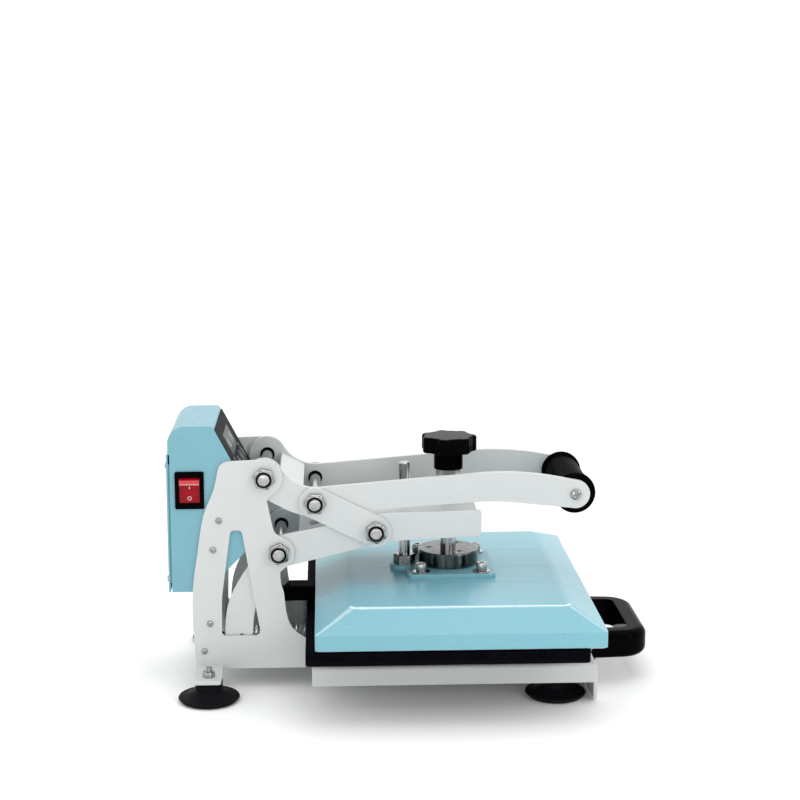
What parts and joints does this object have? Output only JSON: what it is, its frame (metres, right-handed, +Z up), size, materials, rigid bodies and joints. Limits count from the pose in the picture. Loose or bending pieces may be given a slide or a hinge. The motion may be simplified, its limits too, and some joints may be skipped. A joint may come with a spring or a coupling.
{
  "type": "heat press",
  "caption": "Tabletop clamshell heat press with a lever handle, pressure knob, control box and slide-out lower platen on suction feet.",
  "frame": {"origin": "centre of the footprint of the whole machine, on the table under the suction feet", "axes": "+X from the control box to the operator's end with both handles, +Y to the operator's right as they face the press, +Z up; names ending in _left are on the -Y side, the side the picture shows"},
  "size_m": [0.4209, 0.31, 0.2313],
  "materials": {
    "white_coat": "white fine-texture powder coat",
    "blue_coat": "light blue semi-gloss powder coat",
    "plated_steel": "bright zinc plating",
    "polished_steel": "turned and polished",
    "dark_steel": "blackened hexagon nut",
    "spring_steel": "bright drawn wire",
    "black_rubber": "matt black silicone rubber",
    "black_gloss": "moulded gloss black",
    "black_plastic": "moulded satin black",
    "black_coat": "black baked coating",
    "panel_film": "dark grey keypad film",
    "window_film": "tinted display window",
    "board": "green board with parts",
    "red_plastic": "translucent red moulding",
    "key_rubber": "grey key caps",
    "bare_aluminium": "machined cast plate",
    "mineral_wool": "pressed mineral fibre"
  },
  "bodies": {
    "frame": {"side_plate_left": "white_coat", "side_plate_right": "white_coat", "base_plate": "white_coat", "floor_channel": "white_coat", "front_foot_bar": "white_coat", "rear_brace": "white_coat", "frame_screws": "plated_steel", "control_box": "blue_coat", "rear_cover": "blue_coat", "panel_overlay": "panel_film", "display_window": "window_film", "power_inlet": "black_plastic", "switch_bezel": "black_plastic", "control_board": "board", "suction_feet": "black_rubber", "foot_bolts": "plated_steel", "frame_pivot_shafts": "plated_steel", "frame_pivot_nuts": "plated_steel", "drawer_rails": "plated_steel", "spring_anchor": "white_coat", "lift_springs": "spring_steel"},
    "platen_arm": {"lower_arm_left": "white_coat", "lower_arm_right": "white_coat", "arm_web": "white_coat", "spindle_block": "white_coat", "guide_bush": "polished_steel", "link_pivot_shaft": "plated_steel"},
    "handle": {"handle_arm_left": "white_coat", "handle_arm_right": "white_coat", "bridge_plate": "white_coat", "grip_tube": "plated_steel", "grip": "black_plastic", "grip_screws": "plated_steel", "crank_pivot_shaft": "plated_steel"},
    "links": {"link_left": "white_coat", "link_right": "white_coat", "link_end_bolts": "plated_steel"},
    "hot_platen": {"adapter_plate": "blue_coat", "swivel_disc": "polished_steel", "adapter_screws": "plated_steel", "adapter_washers": "plated_steel", "guide_rod": "polished_steel", "guide_rod_nut": "dark_steel", "platen_cover": "blue_coat", "heat_plate": "bare_aluminium", "insulation": "mineral_wool", "cover_spacers": "plated_steel", "terminal_block": "black_plastic"},
    "spindle": {"pressure_spindle": "polished_steel", "pressure_knob": "black_plastic"},
    "drawer": {"lower_platen": "black_coat", "silicone_pad": "black_rubber", "drawer_runners": "black_plastic", "drawer_handle": "black_gloss", "handle_screws": "plated_steel"},
    "mains_switch": {"rocker": "red_plastic"},
    "mode_key": {"mode_button": "key_rubber"},
    "down_key": {"down_button": "key_rubber"},
    "up_key": {"up_button": "key_rubber"},
    "start_key": {"start_button": "key_rubber"}
  },
  "joints": [
    {"name": "platen_arm_lift", "type": "hinge", "parent": "frame", "child": "platen_arm", "pos_m": [-0.1125, 0, 0.1205], "axis": [0, -1, 0], "range_deg": [0, 37], "deforming": ["lift_springs"]},
    {"name": "handle_swing", "type": "hinge", "parent": "frame", "child": "handle", "pos_m": [-0.1245, 0, 0.1865], "axis": [0, -1, 0], "range_deg": [0, 85.2]},
    {"name": "link_swing", "type": "hinge", "parent": "platen_arm", "child": "links", "pos_m": [-0.0291, 0, 0.1384], "axis": [0, -1, 0], "range_deg": [-57.5, 0]},
    {"name": "platen_height", "type": "slide", "parent": "platen_arm", "child": "hot_platen", "axis": [0, 0, 1], "range_m": [0, 0.008]},
    {"name": "pressure_knob_turn", "type": "hinge", "parent": "hot_platen", "child": "spindle", "pos_m": [0.037, 0, 0.197], "axis": [0, 0, 1], "range_deg": [0, 1445]},
    {"name": "drawer_slide", "type": "slide", "parent": "frame", "child": "drawer", "axis": [1, 0, 0], "range_m": [0, 0.2]},
    {"name": "mains_switch_rock", "type": "hinge", "parent": "frame", "child": "mains_switch", "pos_m": [-0.188, -0.049, 0.176], "axis": [-1, 0, 0], "range_deg": [0, 20]},
    {"name": "mode_key_press", "type": "slide", "parent": "frame", "child": "mode_key", "axis": [0.8857, 0, 0.4643], "range_m": [-0.0008, 0], "stiffness_N_per_m": 400},
    {"name": "down_key_press", "type": "slide", "parent": "frame", "child": "down_key", "axis": [0.8857, 0, 0.4643], "range_m": [-0.0008, 0], "stiffness_N_per_m": 400},
    {"name": "up_key_press", "type": "slide", "parent": "frame", "child": "up_key", "axis": [0.8857, 0, 0.4643], "range_m": [-0.0008, 0], "stiffness_N_per_m": 400},
    {"name": "start_key_press", "type": "slide", "parent": "frame", "child": "start_key", "axis": [0.8857, 0, 0.4643], "range_m": [-0.0008, 0], "stiffness_N_per_m": 400}
  ],
  "couplings": [
    {"joint": "handle_swing", "follows": "platen_arm_lift", "ratio": 2.2474},
    {"joint": "link_swing", "follows": "platen_arm_lift", "ratio": -1.524},
    {"joint": "pressure_knob_turn", "follows": "platen_height", "rad_per_m": 3141.6}
  ]
}
